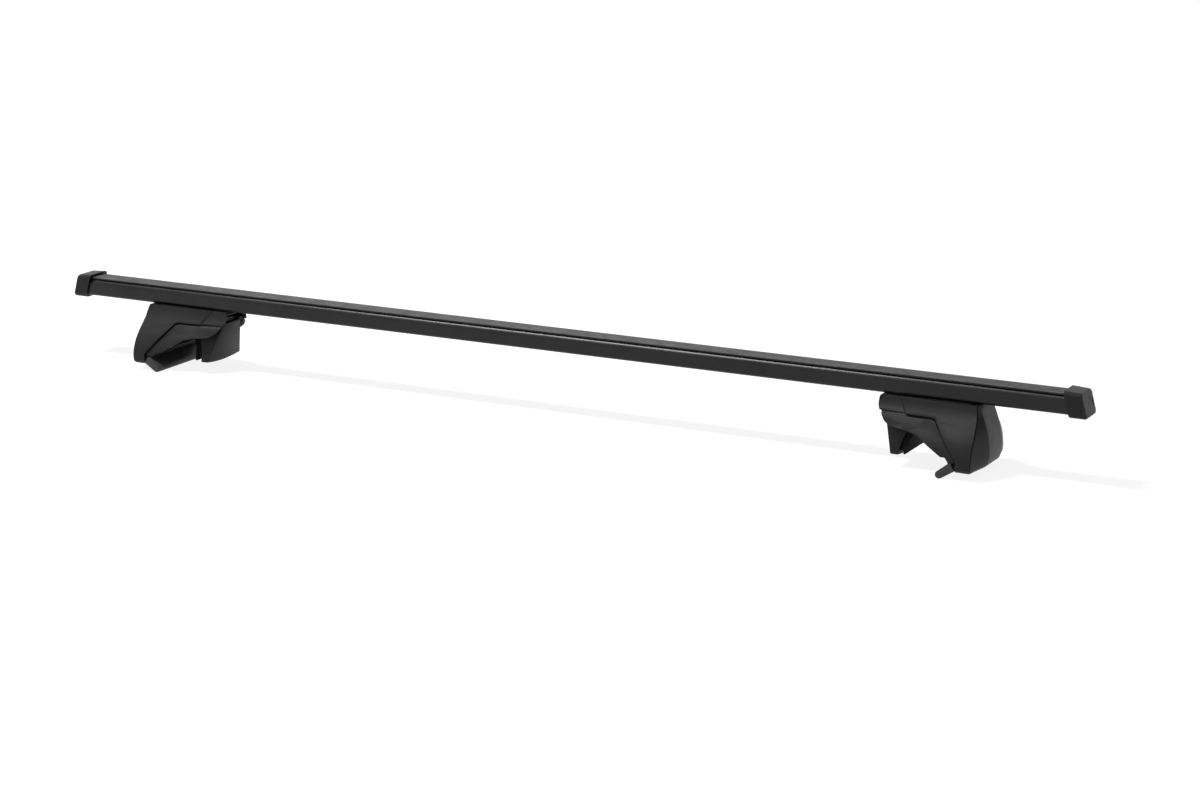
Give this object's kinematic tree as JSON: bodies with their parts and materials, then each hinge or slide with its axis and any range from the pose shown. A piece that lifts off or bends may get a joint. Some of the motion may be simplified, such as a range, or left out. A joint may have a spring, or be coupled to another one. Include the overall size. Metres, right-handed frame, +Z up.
{
  "type": "roof cross bar",
  "caption": "Black roof cross bar with a ribbed top strip, slanted end caps and flared clamp feet whose screw-drawn jaws grip raised side rails.",
  "frame": {"origin": "middle of the bar's length and width, level with the lowest points of the feet", "axes": "+X along the bar, +Y along the vehicle's rails, +Z up"},
  "size_m": [1.27, 0.103, 0.099],
  "materials": {
    "bar_coating": "satin black powder coat",
    "strip_rubber": "matte black, ribbed along its length",
    "cap_plastic": "fine satin grain",
    "cover_plastic": "satin black moulding",
    "saddle_plastic": "fine grained black moulding",
    "jaw_plastic": "fine grained black moulding",
    "pad_rubber": "matte black",
    "bracket_steel": "black coated steel plate",
    "plated_steel": "zinc plated"
  },
  "bodies": {
    "bar": {"crossbar": "bar_coating", "top_strip": "strip_rubber", "left_end_cap": "cap_plastic", "right_end_cap": "cap_plastic"},
    "left_foot": {"left_foot_cover": "cover_plastic", "left_saddle": "saddle_plastic", "left_saddle_pad": "pad_rubber", "left_hook_bracket": "bracket_steel", "left_hook_boot": "pad_rubber", "left_screw_washer": "plated_steel", "left_bar_bolts": "plated_steel", "left_bar_nuts": "plated_steel"},
    "left_cover": {"left_end_cover": "cover_plastic"},
    "left_screw": {"left_clamp_screw": "plated_steel"},
    "left_jaw": {"left_clamp_jaw": "jaw_plastic", "left_jaw_pad": "pad_rubber", "left_clamp_nut": "plated_steel"},
    "right_foot": {"right_foot_cover": "cover_plastic", "right_saddle": "saddle_plastic", "right_saddle_pad": "pad_rubber", "right_hook_bracket": "bracket_steel", "right_hook_boot": "pad_rubber", "right_screw_washer": "plated_steel", "right_bar_bolts": "plated_steel", "right_bar_nuts": "plated_steel"},
    "right_cover": {"right_end_cover": "cover_plastic"},
    "right_screw": {"right_clamp_screw": "plated_steel"},
    "right_jaw": {"right_clamp_jaw": "jaw_plastic", "right_jaw_pad": "pad_rubber", "right_clamp_nut": "plated_steel"}
  },
  "joints": [
    {"name": "left_foot_slide", "type": "slide", "parent": "bar", "child": "left_foot", "axis": [-1, 0, 0], "range_m": [-0.06, 0.04]},
    {"name": "left_cover_pull", "type": "slide", "parent": "left_foot", "child": "left_cover", "axis": [-1, 0, 0], "range_m": [0, 0.035]},
    {"name": "left_screw_turn", "type": "hinge", "parent": "left_foot", "child": "left_screw", "pos_m": [-0.515, 0, 0.0541], "axis": [1, 0, 0], "range_deg": [0, 5185]},
    {"name": "left_jaw_slide", "type": "slide", "parent": "left_foot", "child": "left_jaw", "axis": [-1, 0, 0], "range_m": [0, 0.018]},
    {"name": "right_foot_slide", "type": "slide", "parent": "bar", "child": "right_foot", "axis": [1, 0, 0], "range_m": [-0.06, 0.04]},
    {"name": "right_cover_pull", "type": "slide", "parent": "right_foot", "child": "right_cover", "axis": [1, 0, 0], "range_m": [0, 0.035]},
    {"name": "right_screw_turn", "type": "hinge", "parent": "right_foot", "child": "right_screw", "pos_m": [0.515, 0, 0.0541], "axis": [-1, 0, 0], "range_deg": [0, 5185]},
    {"name": "right_jaw_slide", "type": "slide", "parent": "right_foot", "child": "right_jaw", "axis": [1, 0, 0], "range_m": [0, 0.018]}
  ],
  "couplings": [
    {"joint": "left_screw_turn", "follows": "left_jaw_slide", "rad_per_m": 5026.5},
    {"joint": "right_screw_turn", "follows": "right_jaw_slide", "rad_per_m": 5026.5}
  ]
}
